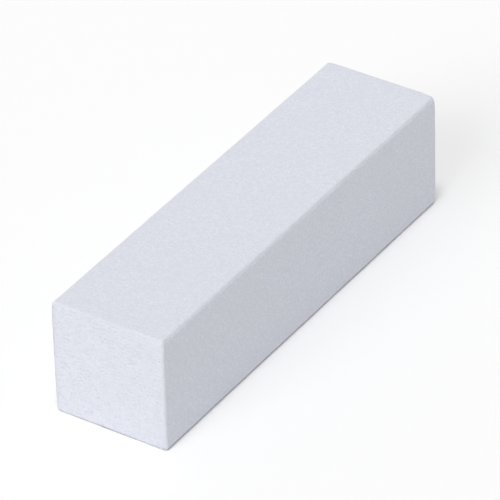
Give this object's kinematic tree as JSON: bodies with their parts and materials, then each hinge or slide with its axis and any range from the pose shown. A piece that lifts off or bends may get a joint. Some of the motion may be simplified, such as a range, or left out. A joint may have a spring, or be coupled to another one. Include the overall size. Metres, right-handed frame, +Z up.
{
  "type": "nail buffer block",
  "caption": "Square bar of white closed-cell foam with an abrasive strip laminated to every long side, held in the hand to file and buff nails.",
  "frame": {"origin": "middle of the bottom long face, on the surface that the block lies on", "axes": "+Y along the block's length, +X across its width, +Z up through its height"},
  "size_m": [0.025, 0.095, 0.025],
  "materials": {
    "foam": "matte",
    "adhesive": "satin",
    "paper": "matte",
    "abrasive": "matte"
  },
  "bodies": {
    "root": {"foam_core": "foam", "adhesive_film_top": "adhesive", "adhesive_film_right": "adhesive", "adhesive_film_bottom": "adhesive", "adhesive_film_left": "adhesive", "paper_backing_top": "paper", "paper_backing_right": "paper", "paper_backing_bottom": "paper", "paper_backing_left": "paper", "abrasive_coat_top": "abrasive", "abrasive_coat_right": "abrasive", "abrasive_coat_bottom": "abrasive", "abrasive_coat_left": "abrasive"}
  },
  "joints": []
}
